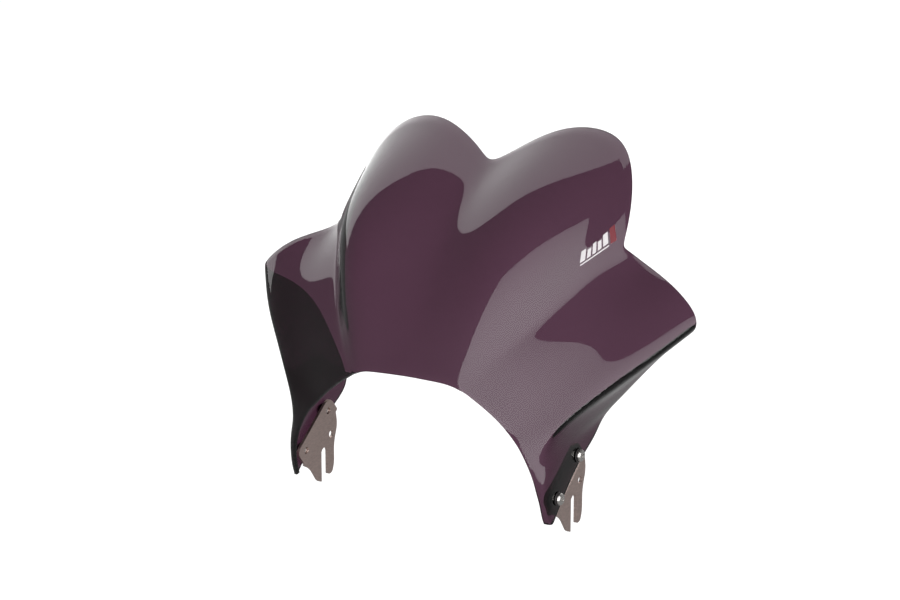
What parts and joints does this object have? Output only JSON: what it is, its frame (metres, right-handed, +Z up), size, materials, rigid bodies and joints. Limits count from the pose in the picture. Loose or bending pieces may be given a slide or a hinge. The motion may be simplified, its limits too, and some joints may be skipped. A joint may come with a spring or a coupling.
{
  "type": "motorcycle fly screen",
  "caption": "Smoked acrylic motorcycle fly screen with twin upper lobes, swept side wings and legs screwed to slotted steel headlight brackets.",
  "frame": {"origin": "on the axis of the two headlight bolts, midway between the brackets", "axes": "+X across the motorcycle, from the left bracket to the right one as seen from the front; -Y forward; +Z up"},
  "size_m": [0.4016, 0.1512, 0.2944],
  "materials": {
    "smoked_acrylic": "gloss",
    "bracket_steel": "satin",
    "screw_steel": "satin",
    "washer_nylon": "matte",
    "pad_rubber": "matte"
  },
  "bodies": {
    "root": {"screen": "smoked_acrylic", "bracket_right": "bracket_steel", "bracket_left": "bracket_steel", "screw_upper_right": "screw_steel", "washer_upper_right": "washer_nylon", "pad_upper_right": "pad_rubber", "screw_lower_right": "screw_steel", "washer_lower_right": "washer_nylon", "pad_lower_right": "pad_rubber", "screw_upper_left": "screw_steel", "washer_upper_left": "washer_nylon", "pad_upper_left": "pad_rubber", "screw_lower_left": "screw_steel", "washer_lower_left": "washer_nylon", "pad_lower_left": "pad_rubber"}
  },
  "joints": []
}
